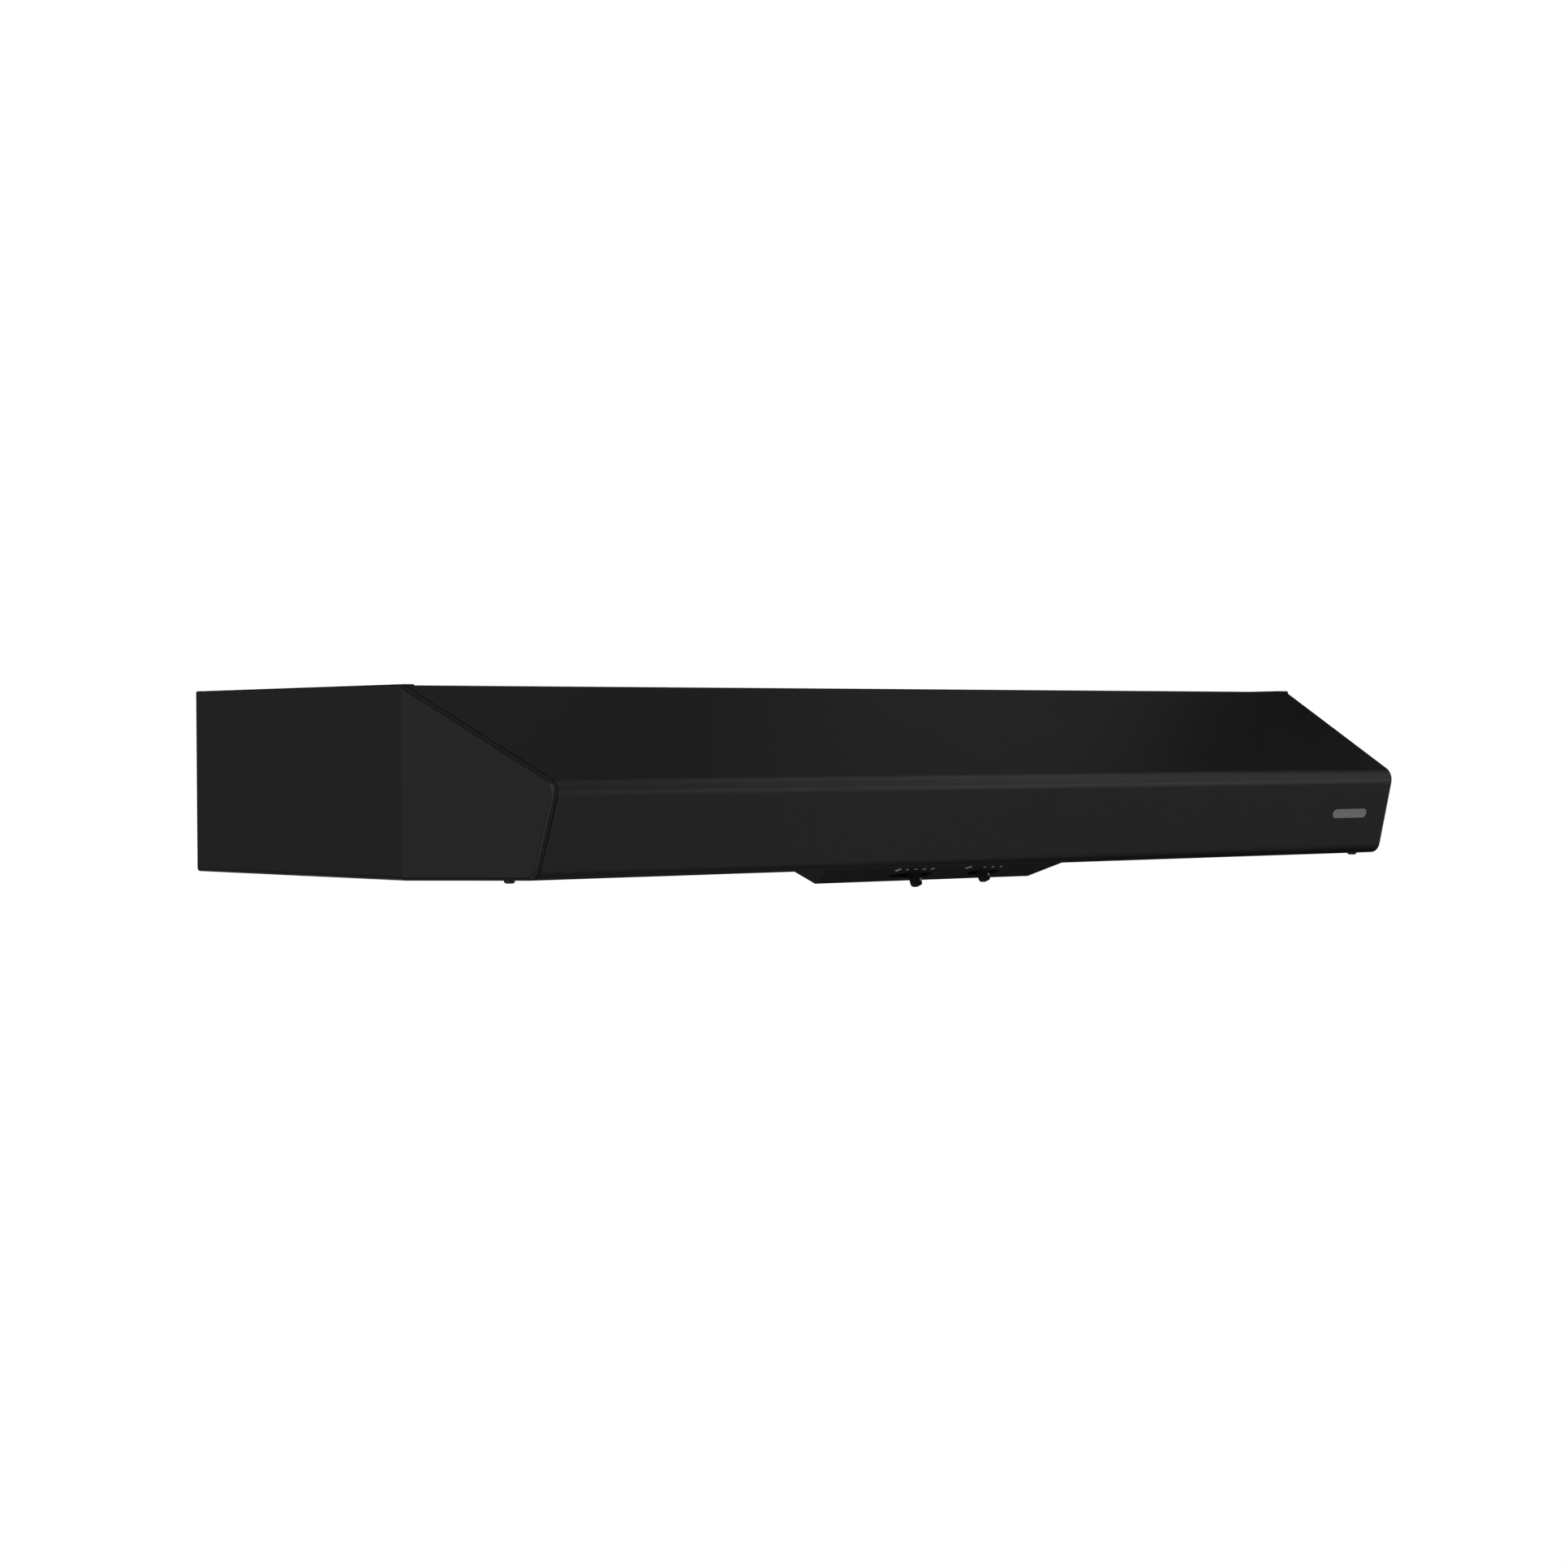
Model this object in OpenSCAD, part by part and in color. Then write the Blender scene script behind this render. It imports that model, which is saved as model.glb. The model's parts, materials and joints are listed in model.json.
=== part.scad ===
// Under cabinet range hood, 36 inch class, slide controls, two mesh filters.
// Row frame: X to the right, Y towards the wall, Z up, millimetres.
// Origin: middle of the flat top panel's upper face, which goes against the cabinet.
// All modules below are written in a working frame with the wall at y = 0, the
// lower rim at z = 0 and the front towards -Y; place() moves them to the row frame.

/* [Body] */
// Width across the two flat sides
hood_w = 911; // [880:1:930]
// Depth from the wall to the knee of the front
hood_d = 445; // [440:1:455]
// Height from the lower rim to the top panel's upper face
hood_h = 139.2; // [138:0.2:141]
// Depth of the flat top that goes under the cabinet
top_d = 296; // [292:1:300]
// How far each side comes in from the bend to the knee
side_taper = 30; // [24:1:34]
// Height of the knee between the slope and the front face
knee_z = 69; // [64:1:74]
// How far the foot of the front face lies behind the knee
front_lean = 22; // [18:1:26]
// Bend radius at the knee
knee_r = 11; // [9:1:15]
// Bend radius at the foot of the front
foot_r = 11; // [9:1:14]
// Sheet thickness
sheet = 0.8; // [0.7:0.1:0.9]
// Radius of the side caps' rounded front edge
cap_r = 3; // [2:0.5:3.5]

/* [Duct and wiring] */
// Duct opening, width (10 inch)
duct_w = 254; // [252:1:256]
// Duct opening, depth (3 1/4 inch)
duct_d = 82.5; // [82:0.5:83.5]
// Distance of the duct centre from the wall
duct_y = 63; // [62:0.5:64]
// Radius of a wiring knockout
knockout_r = 11.1; // [10.5:0.1:11.5]

/* [Underside] */
// Depth of the recess under the hood
recess = 14; // [12:0.5:16]
// Width of one filter opening
filter_w = 320; // [310:1:324]
// Distance of a lamp from the middle
lamp_x = 300; // [290:1:310]
// Distance of a lamp from the wall
lamp_y = 352; // [346:1:356]
// Radius of a lamp's bezel
lamp_r = 38; // [34:1:40]

/* [Controls] */
// Half width of the control housing's lower face
ctl_hw = 109.4; // [100:0.2:115]
// How far the control housing hangs below the rim
ctl_drop = 11.3; // [9:0.1:12]
// Pitch of the slider's stops
stop_pitch = 8.6; // [8:0.1:9]

/* [Blower] */
// Radius of a blower wheel
wheel_r = 40; // [36:1:40]
// Number of blades on a wheel
blades = 32; // [24:2:40]
// Radius of the motor shaft
shaft_r = 4; // [3.5:0.5:4]

/* [Hidden] */
$fn = 48;
W = hood_w;
H = hood_h;
t = sheet;
phi = atan(side_taper / (hood_d - top_d));
toe_y = -hood_d + front_lean;
zf = 2.4; // rise of the lower edge from the bend to the front

module place() translate([0, top_d / 2, -H]) children();

// ---- path helpers: the inside of the skin is on the left of the path ----
function unit(v) = v / norm(v);
function left_n(a, b) = let(d = unit(b - a)) [-d[1], d[0]];
function inset_path(P, s) = [for (i = [0:len(P) - 1])
    i == 0 ? P[0] + s * left_n(P[0], P[1])
    : i == len(P) - 1 ? P[i] + s * left_n(P[i - 1], P[i])
    : let(n1 = left_n(P[i - 1], P[i]), n2 = left_n(P[i], P[i + 1]))
      P[i] + s * (n1 + n2) / (1 + n1 * n2)];
function ang_of(v) = atan2(v[1], v[0]);
function turn(a) = a > 180 ? a - 360 : a < -180 ? a + 360 : a;
function arc_at(p0, p1, p2, r, n) = let(
    d1 = unit(p0 - p1), d2 = unit(p2 - p1), ang = acos(d1 * d2),
    c = p1 + unit(d1 + d2) * (r / sin(ang / 2)),
    a0 = ang_of(p1 + d1 * (r / tan(ang / 2)) - c),
    a1 = ang_of(p1 + d2 * (r / tan(ang / 2)) - c), da = turn(a1 - a0))
    [for (i = [0:n]) c + r * [cos(a0 + da * i / n), sin(a0 + da * i / n)]];
function rounded(P, R, n) = [for (i = [0:len(P) - 1])
    each (R[i] <= 0 ? [P[i]] : arc_at(P[i - 1], P[i], P[i + 1], R[i], n))];
function skin(P, R, s, n) = let(
    a = rounded(P, R, n),
    b = rounded(inset_path(P, s), [for (r = R) r <= 0 ? 0 : r - s], n))
    concat(a, [for (i = [len(b) - 1:-1:0]) b[i]]);

// section (y, z) pulled along X, from x0 over length l
module along_x(x0, l) translate([x0, 0, 0]) rotate([90, 0, 90]) linear_extrude(l) children();
module box(a, b) translate(a) cube(b - a);
module slot2d(l, w) { translate([-(l - w) / 2, 0]) circle(d = w); translate([(l - w) / 2, 0]) circle(d = w); square([l - w, w], center = true); }
module screw(head_r, head_h, shank_r, shank_l) { // head below z = 0, shank above
    difference() {
        translate([0, 0, -head_h]) cylinder(r1 = head_r * 0.8, r2 = head_r, h = head_h);
        translate([0, 0, -head_h - 0.1]) linear_extrude(0.9) { square([head_r * 1.1, 0.7], center = true); square([0.7, head_r * 1.1], center = true); }
    }
    translate([0, 0, -0.01]) cylinder(r = shank_r, h = shank_l + 0.01);
}
// half width of the hood at depth y
function hw(y) = W / 2 - (y < -top_d ? side_taper * (-y - top_d) / (hood_d - top_d) : 0);
module plan(s, y0, y1) polygon([[-hw(y0) + s, y0], [hw(y0) - s, y0], [hw(-top_d) - s, -top_d],
    [hw(y1) - s, y1], [-hw(y1) + s, y1], [-hw(-top_d) + s, -top_d]]);

// ---- shell ----
module canopy_panel() color([0.13, 0.13, 0.13]) intersection() {
    along_x(-W / 2, W) polygon(skin(
        [[-top_d + 12.8, H], [-top_d, H], [-hood_d, knee_z], [toe_y - front_lean * zf / knee_z, zf], [toe_y + 23, zf - 0.45], [toe_y + 23, 9]],
        [0, 2.4, knee_r, foot_r, 1.6, 0], t, 16));
    difference() {
        translate([0, 0, -1]) linear_extrude(H + 3) plan(cap_r + 0.7, -top_d + 14, -hood_d - 5);
        for (s = [-1, 1]) translate([s * (hw(toe_y + 23) + 8), toe_y + 23, 6]) cube([40, 3, 10.2], center = true);
    }
}

// outline of the tapered cap in its own plane; x is minus the distance from the bend
function cap_pts() = [for (p = rounded([[30, H], [0, H], [-(hood_d - top_d), knee_z],
    [-(hood_d - top_d) + front_lean * (1 - zf / knee_z), zf],
    [30, -zf * 30 / (hood_d - top_d - front_lean)]], [0, 0, knee_r, foot_r, 0], 16)) [p[0] / cos(phi), p[1]]];
module cap_slice(s, z0, dz) translate([0, 0, z0]) linear_extrude(dz) offset(delta = -s) polygon(cap_pts());
module cap_tray() translate([W / 2, -top_d, 0]) rotate([0, 0, -phi]) difference() {
    rotate([90, 0, 90]) difference() {
        union() {
            hull() {
                for (a = [0:15:90]) cap_slice(cap_r * (1 - cos(a)) , -cap_r * (1 - sin(a)) - 0.01, 0.01);
                cap_slice(0, -cap_r - 0.3, 0.02);
            }
            cap_slice(t + 0.1, -10, 10 - cap_r);
        }
        cap_slice(2 * t + 0.1, -11, 11 - cap_r + 0.4);
        cap_slice(cap_r + 0.4, -cap_r, cap_r - t);
    }
    translate([-60, 0, -20]) cube([120, 80, H + 40]);
}
module side_panel() difference() {
    union() {
        translate([0, 0, 0]) rotate([90, 0, 0]) linear_extrude(top_d) polygon(skin(
            [[W / 2 - 14, 0], [W / 2, 0], [W / 2, H + t], [W / 2 - 11, H + t]], [0, cap_r, 1.4, 0], t, 12));
        box([W / 2 - 14, -2 * t - 0.1, t * 0.5], [W / 2 - t * 0.5, -t - 0.1, H - 1.5]);
        cap_tray();
    }
    for (x = [429.5 + (W - 911) / 2]) translate([x, toe_y + 30, -5]) cylinder(r = 2.3, h = 12);
}
module right_side_panel() color([0.14, 0.14, 0.14]) side_panel();
module left_side_panel() color([0.14, 0.14, 0.14]) mirror([1, 0, 0]) side_panel();

module top_panel() color([0.12, 0.12, 0.12]) difference() {
    union() {
        box([-W / 2 + 11.6, -top_d + 13.1, H - t], [W / 2 - 11.6, -1.1, H]);
        // side lips, set down a little to lie below the side panels' flanges
        for (s = [-1, 1]) translate([s * (W / 2 - 6.8), 0, 0]) box([-5, -top_d + 13.1, H - 2 * t + 0.4], [5, -1.1, H - 0.1]);
        box([-W / 2 + 12, -top_d + 10, H - 2 * t], [W / 2 - 12, -top_d + 26, H - t]);
        box([-W / 2 + 12, -top_d + 2, H - 2 * t - 0.1], [W / 2 - 12, -top_d + 12, H - t - 0.1]);
        // rear edge turned down inside the back panel
        box([-W / 2 + 15, -2 * t - 0.3, H - 14], [W / 2 - 15, -t - 0.3, H - t * 0.5]);
    }
    box([-duct_w / 2, -duct_y - duct_d / 2, H - 5], [duct_w / 2, -duct_y + duct_d / 2, H + 5]);
    for (x = [-398, 398], y = [-48, -248]) translate([x, y, H - 5]) linear_extrude(10) slot2d(16, 6.5);
    for (x = [-141, 141], y = [-duct_y - 49, -duct_y + 49]) translate([x, y, H - 5]) cylinder(r = 1.7, h = 10);
    for (x = [-130.5, 130.5], y = [-duct_y - 45, -duct_y + 45]) translate([x, y, H - 5]) cylinder(r = 1.6, h = 10);
    translate([-395, -38, H - 5]) cylinder(r = knockout_r, h = 10);
    translate([0, -135, H - 5]) cylinder(r = 1.7, h = 10);
}

module back_panel() color([0.12, 0.12, 0.12]) difference() {
    union() {
        box([-W / 2 + 15, -t, 0], [W / 2 - 15, 0, H - t - 0.3]);
        box([-W / 2 + t + 0.2, -t, cap_r + 0.2], [W / 2 - t - 0.2, 0, H - t - 0.3]);
        box([-W / 2 + 15, -13, 0], [W / 2 - 15, -t * 0.5, t]);
    }
    box([-duct_w / 2, -5, 34], [duct_w / 2, 5, 34 + duct_d]);
    translate([-395, 5, 116]) rotate([90, 0, 0]) cylinder(r = knockout_r, h = 10);
    for (x = [-132, 132], z = [29, 121.5]) translate([x, 5, z]) rotate([90, 0, 0]) cylinder(r = 1.6, h = 10);
}
module rear_knockout_plate() color([0.2, 0.2, 0.2]) difference() {
    union() {
        box([-138, -2 * t - 0.1, 24], [138, -t - 0.05, 124.2]);
        box([-duct_w / 2 + 0.5, -t - 0.1, 34.5], [duct_w / 2 - 0.5, -0.05, 34 + duct_d - 0.5]);
    }
    for (x = [-132, 132], z = [29, 121.5]) translate([x, 5, z]) rotate([90, 0, 0]) cylinder(r = 1.6, h = 10);
}
module knockout_screws() color([0.6, 0.6, 0.6]) for (x = [-132, 132], z = [29, 121.5])
    translate([x, -2 * t - 0.1, z]) rotate([-90, 0, 0]) screw(3, 1.6, 1.5, 1.55);

// ---- underside ----
fy0 = -28;            // rear edge of a filter opening
fy1 = -290;           // front edge of a filter opening
fx0 = 12;             // inner edge of a filter opening
pivot_y = -34.5;
pivot_z = recess + 3;
module liner_plan(s, ys) plan(s, ys, -hood_d + front_lean + 23.6);
rim_z = 4.3;          // lower face of the rim strip around the recess
module liner_hole(h) linear_extrude(h) polygon([[-hw(-15) + 15.3, -14.8], [hw(-15) - 15.3, -14.8],
    [hw(-top_d) - 15.3, -top_d], [hw(toe_y + 24.4) - 15.3, toe_y + 24.4],
    [-hw(toe_y + 24.4) + 15.3, toe_y + 24.4], [-hw(-top_d) + 15.3, -top_d]]);
module underside_liner() color([0.12, 0.12, 0.12]) difference() {
    translate([0, 0, recess]) linear_extrude(t) liner_plan(14.5, -14);
    for (s = [-1, 1]) {
        translate([s * (fx0 + filter_w / 2), (fy0 + fy1) / 2, 0]) cube([filter_w, fy0 - fy1, 60], center = true);
        translate([s * lamp_x, -lamp_y, 0]) cylinder(r = 33, h = 60);
        for (y = [-385, -300]) translate([s * 142, y, 5]) cylinder(r = 1.8, h = 20);
    }
    box([-118, -378, 5], [118, -310, 25]);
}
// strip with an L section that closes the gap between the panels and the recessed plate
module underside_rim() color([0.12, 0.12, 0.12]) difference() {
    union() {
        translate([0, 0, rim_z]) linear_extrude(recess - rim_z - 0.02) liner_plan(14.5, -14);
        translate([0, 0, rim_z]) linear_extrude(t) liner_plan(3.7, -3.2);
    }
    liner_hole(recess + 5);
    for (s = [-1, 1]) translate([s * (429.5 + (W - 911) / 2), toe_y + 30, -5]) cylinder(r = 2.3, h = 12);
}
module liner_screws() color([0.1, 0.1, 0.1]) for (s = [-1, 1])
    translate([s * (429.5 + (W - 911) / 2), toe_y + 30, 1.78]) {
        rotate_extrude() polygon([[0, -2], [2.4, -2], [3.4, -1.6], [3.9, -0.9], [4, -0.0], [2, 0], [2, 6], [0, 6]]);
    }

// ---- controls: housing that hangs under the front, with a sloping face ----
ctl_y = -335.6;
ctl_a = 21.3; // slope of the face, from the horizontal
ctl_b = 34;   // slope of the rear
ctl_rise = recess + ctl_drop;
module on_face() translate([0, ctl_y, -ctl_drop]) rotate([180 - ctl_a, 0, 0]) children();
// low inverted roof: its ridge is the housing's lower edge; walls w thick are left outside
module ctl_solid(w, top) {
    r = w * (1 / sin(ctl_a) + 1 / sin(ctl_b)) / (1 / tan(ctl_a) + 1 / tan(ctl_b));
    c = 0.5;
    hull() {
        translate([0, 0, -ctl_drop + r]) linear_extrude(0.01) square([2 * (ctl_hw + r - w * sqrt(2)), 0.01], center = true);
        translate([0, 0, top]) linear_extrude(0.01) {
            h = top + ctl_drop;
            translate([-(ctl_hw + h - w * sqrt(2)), -h / tan(ctl_a) + w / sin(ctl_a)])
                square([2 * (ctl_hw + h - w * sqrt(2)), h / tan(ctl_a) - w / sin(ctl_a) + h / tan(ctl_b) - w / sin(ctl_b)]);
        }
    }
}
fan_c = -25.7;  // middle of the fan slot
light_c = 50;
slot_v = 14.4; // height of the slots' line up the sloping face
module control_housing() color([0.07, 0.07, 0.07]) difference() {
    union() {
        difference() {
            intersection() {
                union() {
                    translate([0, ctl_y, 0]) ctl_solid(0, recess - 0.06);
                    box([-150, -398.2, recess - 2], [150, -290.6, recess - 0.05]);
                }
                box([-160, -398.2, -ctl_drop + 0.25], [160, -290, recess]);
            }
            translate([0, ctl_y, 0]) ctl_solid(2, recess + 0.1);
        }
        on_face() {
            translate([fan_c, slot_v, -4.2]) linear_extrude(3) slot2d(46, 12.6);
            translate([light_c, slot_v, -4.2]) linear_extrude(3) slot2d(34.5, 12.6);
        }
    }
    on_face() {
        translate([fan_c, slot_v, -2.2]) linear_extrude(5) slot2d(43, 9.6);
        translate([light_c, slot_v, -2.2]) linear_extrude(5) slot2d(31.5, 9.6);
        translate([fan_c, slot_v, -8]) linear_extrude(12) slot2d(3 * stop_pitch + 7, 3.6);
        translate([light_c, slot_v, -8]) linear_extrude(12) slot2d(2 * stop_pitch + 7, 3.6);
    }
    for (x = [-142, 142], y = [-385, -300]) translate([x, y, 5]) cylinder(r = 1.8, h = 20);
}
// printed marks on the face: a dot for each stop, a fan and a lamp sign
module control_markings() color([0.6, 0.6, 0.6]) on_face() translate([0, 27.2, 0.02]) linear_extrude(0.12) {
    for (i = [-1.5:1:1.5]) translate([fan_c + i * stop_pitch, 0]) slot2d(2.6 + (i + 1.5) * 0.4, 1.7);
    for (i = [-1:1]) translate([light_c + i * stop_pitch, 0]) slot2d(2.6 + (i + 1) * 0.4, 1.7);
    translate([fan_c - 1.5 * stop_pitch - 9.3, 0]) difference() { // fan sign: four blades
        union() for (a = [0:90:270]) rotate(a) translate([1.7, 0.5]) slot2d(2.8, 1.7);
        circle(r = 0.5);
    }
    translate([light_c - stop_pitch - 17, 0]) difference() { // lamp sign: a ring with rays
        union() { circle(r = 1.9); for (a = [0:60:300]) rotate(a) translate([2.3, 0]) slot2d(2.2, 0.7); }
        circle(r = 1.1);
    }
}
module control_housing_screws() color([0.1, 0.1, 0.1]) for (x = [-142, 142], y = [-385, -300])
    translate([x, y, recess - 2.02]) screw(3.2, 1.8, 1.6, 8);

// finger knob of a slider: flat fin with a rounded tip, a foot and a stem
module slider_knob(len) {
    translate([0, 0, -1.9]) linear_extrude(1.6) slot2d(12, 7.4);
    difference() {
        translate([0, 2.4, -0.4]) rotate([90, 0, 0]) linear_extrude(4.8) union() {
            translate([-4.3, -1]) square([8.6, len - 1.6]);
            translate([-1.7, 0]) square([3.4, len]);
            for (s = [-1, 1]) translate([s * 1.7, len - 2.6]) circle(r = 2.6);
        }
        translate([2.1, 1.9, -1]) cube([10, 1, len - 5]);
        translate([2.1, 1.9, len - 4]) cube([10, 1, 10]);
    }
    translate([0, 0, -6.4]) linear_extrude(5.2) square([4, 2.8], center = true);
}
module fan_slider_knob() color([0.05, 0.05, 0.05]) on_face() translate([fan_c + stop_pitch / 2, slot_v, 0]) slider_knob(9.8);
module light_slider_knob() color([0.05, 0.05, 0.05]) on_face() translate([light_c, slot_v, 0]) slider_knob(7.8);
module slide_switch(l) difference() {
    union() {
        translate([-l / 2, -6.5, -15]) cube([l, 13, 10.75]);
        for (s = [-1, 1]) translate([s * (l / 2 - 4) - 1, -4, -18.5]) cube([2, 8, 4]);
        translate([-1, -4, -18.5]) cube([2, 8, 4]);
    }
    translate([-l / 2 + 3, -1.8, -7.2]) cube([l - 6, 3.6, 5]);
}
module fan_switch() color([0.15, 0.15, 0.16]) on_face() translate([fan_c, slot_v, 0]) slide_switch(44);
module light_switch() color([0.15, 0.15, 0.16]) on_face() translate([light_c, slot_v, 0]) slide_switch(33);

// ---- grease filters, drawn for the right side ----
ff_w = filter_w - 3.2;
module filter_frame() difference() {
    union() {
        box([fx0 + 1.6, fy1 + 1.6, pivot_z - 4.5], [fx0 + 1.6 + ff_w, pivot_y, pivot_z + 4.5]);
        translate([fx0 + 1.6, pivot_y, pivot_z]) rotate([0, 90, 0]) cylinder(r = 4.5, h = ff_w);
        for (x = [fx0 + 1.6 - 5, fx0 + 1.6 + ff_w - 1]) translate([x, pivot_y, pivot_z]) rotate([0, 90, 0]) cylinder(r = 2, h = 6);
    }
    box([fx0 + 13.6, fy1 + 13.6, 0], [fx0 - 10.4 + ff_w, pivot_y - 8, 60]);
    box([fx0 + 2.6, fy1 + 2.6, pivot_z - 3.6], [fx0 + 0.6 + ff_w, pivot_y - 6, pivot_z + 3.6]);
}
module filter_mesh() for (z = [pivot_z - 3.5, pivot_z + 3])
    box([fx0 + 2.8, fy1 + 2.8, z], [fx0 + 0.4 + ff_w, pivot_y - 6.2, z + 0.5]);
module filter_pull() translate([fx0 + filter_w / 2, fy1 + 7, pivot_z - 4.5]) {
    box([-14, -4, -1], [14, 5, 0]);
    box([-11, -4.2, -7.5], [11, -3.2, -0.5]);
    translate([0, -3.7, -7.5]) rotate([0, 90, 0]) cylinder(r = 1.1, h = 22, center = true);
}
module right_filter_frame() color([0.7, 0.7, 0.72]) filter_frame();
module left_filter_frame() color([0.7, 0.7, 0.72]) mirror([1, 0, 0]) filter_frame();
module right_filter_mesh() color([0.75, 0.75, 0.77]) filter_mesh();
module left_filter_mesh() color([0.75, 0.75, 0.77]) mirror([1, 0, 0]) filter_mesh();
module right_filter_pull() color([0.6, 0.6, 0.62]) filter_pull();
module left_filter_pull() color([0.6, 0.6, 0.62]) mirror([1, 0, 0]) filter_pull();
module filter_hinge_clips() color([0.6, 0.6, 0.6]) for (s = [-1, 1], x = [fx0 - 5.6, fx0 + filter_w + 0.4]) mirror([s < 0 ? 1 : 0, 0, 0])
    difference() {
        union() {
            box([x, pivot_y - 4.4, recess + t], [x + 5.2, pivot_y + 4.4, pivot_z]);
            translate([x, pivot_y, pivot_z]) rotate([0, 90, 0]) cylinder(r = 4.4, h = 5.2);
        }
        translate([x - 1, pivot_y, pivot_z]) rotate([0, 90, 0]) cylinder(r = 2.07, h = 8);
        box([x - 1, pivot_y - 8, 0], [x + 7, pivot_y + 8, recess + t]);
    }
module filter_catch_springs() color([0.65, 0.65, 0.65]) for (s = [-1, 1], x = [70, 262]) mirror([s < 0 ? 1 : 0, 0, 0])
    translate([x, 0, 0]) along_x(-9, 18) polygon(skin(
        [[fy1 + 9, recess + 7.95], [fy1 + 4, recess + 10], [fy1 - 5, recess + 10], [fy1 - 8, recess + t], [fy1 - 1.5, recess + t]], [0, 1, 2, 0, 0], 0.5, 5));

// ---- outlet neck with its two-leaf damper ----
neck_x = duct_w / 2 - 0.3;
neck_y0 = -duct_y - duct_d / 2 + 0.3;
neck_y1 = -duct_y + duct_d / 2 - 0.3;
leaf_z = H - 4.2;
module outlet_neck() color([0.62, 0.62, 0.63]) difference() {
    union() {
        box([-neck_x, neck_y0, H - 7.7], [neck_x, neck_y1, H - 0.1]);
        box([-136, -duct_y - 50, H - 1.8], [136, -duct_y + 47.5, H - 0.85]);
    }
    box([-neck_x + 1, neck_y0 + 1, leaf_z - 0.6], [neck_x - 1, neck_y1 - 1, H + 5]);
    box([-neck_x + 1, neck_y0 + 4, H - 6.9], [neck_x - 1, neck_y1 - 4, H]);
    for (s = [-1, 1]) translate([s * 86, -46, H - 8]) cube([79, 42, 6], center = true);
    translate([0, -duct_y, leaf_z]) rotate([0, 90, 0]) cylinder(r = 1.5, h = 300, center = true);
    for (x = [-130.5, 130.5], y = [-duct_y - 45, -duct_y + 45]) translate([x, y, H - 5]) cylinder(r = 1.6, h = 10);
    for (x = [-141, 141], y = [-duct_y - 49, -duct_y + 49]) translate([x, y, H - 5]) cylinder(r = 6.5, h = 10);
    for (p = [[-35, -48], [35, -48], [0, -41]]) translate([p[0], p[1], H - 10]) cylinder(r = 1.7, h = 4);
}
module damper_pin() color([0.75, 0.75, 0.75]) translate([0, -duct_y, leaf_z]) rotate([0, 90, 0]) cylinder(r = 1.5, h = 2 * neck_x - 0.2, center = true);
module leaf(xs) difference() { // leaf towards -Y, knuckles start at each xs, 36 long
    union() {
        box([-124.4, -38.6, -0.4], [124.4, -2.9, 0.4]);
        for (x = xs) { box([x, -4, -0.4], [x + 36, 0, 0.4]); translate([x, 0, 0]) rotate([0, 90, 0]) cylinder(r = 2.4, h = 36); }
    }
    rotate([0, 90, 0]) cylinder(r = 1.56, h = 300, center = true);
}
module front_damper_leaf() color([0.7, 0.7, 0.71]) translate([0, -duct_y, leaf_z]) leaf([-118, 82]);
module rear_damper_leaf() color([0.7, 0.7, 0.71]) translate([0, -duct_y, leaf_z]) rotate([0, 0, 180]) leaf([-78, 42]);
module blower_screws() color([0.7, 0.7, 0.7]) {
    for (x = [-130.5, 130.5], y = [-duct_y - 45, -duct_y + 45]) translate([x, y, H - 1.82]) screw(3, 1.8, 1.5, 1.7);
    for (x = [-35, 35]) translate([x, -48, H - 9.02]) screw(3, 1.8, 1.6, 2.1);
}

// ---- blower: two wheels on one motor ----
by = -88;
bz = 83.8;
function scroll_r(a, g) = wheel_r + 4 + (22 * (a - 65) / 295) + g; // a from 65 to 360
function scroll_pts(g) = concat([for (a = [65:6:360]) [by + scroll_r(a, g) * cos(a), bz + scroll_r(a, g) * sin(a)]],
    [[by + scroll_r(360, g), bz + 20], [by + scroll_r(360, g), H - 7.8], [by + scroll_r(65, g) * cos(65) - 1 - g, H - 7.8]]);
module scroll() difference() { // for the right side, x from 45 to 127
    union() {
        along_x(45, 82) polygon(scroll_pts(1));
        box([26, -66, H - 9], [45.5, -30, H - 7.85]);
    }
    along_x(46, 80) polygon(scroll_pts(0));
    translate([35, -48, H - 20]) cylinder(r = 1.7, h = 30);
    box([46, by + (wheel_r + 4) * cos(65) + 0.2, H - 14], [126, by + wheel_r + 26, H]);
    translate([120, by, bz]) rotate([0, 90, 0]) cylinder(r = wheel_r - 7, h = 20);
    translate([30, by, bz]) rotate([0, 90, 0]) cylinder(r = 14, h = 20);
}
module right_blower_scroll() color([0.68, 0.68, 0.7]) scroll();
module left_blower_scroll() color([0.68, 0.68, 0.7]) mirror([1, 0, 0]) scroll();
module wheel() translate([0, by, bz]) {
    difference() {
        union() {
            translate([52, 0, 0]) rotate([0, 90, 0]) cylinder(r = wheel_r, h = 1.6);
            translate([50, 0, 0]) rotate([0, 90, 0]) cylinder(r = 9, h = 18);
        }
        translate([40, 0, 0]) rotate([0, 90, 0]) cylinder(r = shaft_r, h = 60);
    }
    translate([118.4, 0, 0]) rotate([0, 90, 0]) difference() { cylinder(r = wheel_r, h = 1.6); translate([0, 0, -1]) cylinder(r = wheel_r - 8, h = 5); }
    translate([53, 0, 0]) rotate([90, 0, 90]) linear_extrude(66) for (i = [0:blades - 1]) rotate(360 * i / blades)
        translate([wheel_r - 7.6, 0]) rotate(28) translate([0, -0.4]) square([7.6, 0.8]);
}
module right_blower_wheel() color([0.2, 0.2, 0.22]) wheel();
module left_blower_wheel() color([0.2, 0.2, 0.22]) mirror([1, 0, 0]) wheel();
module barrel(r, x0, l) translate([x0, by, bz]) rotate([0, 90, 0]) cylinder(r = r, h = l);
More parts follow.
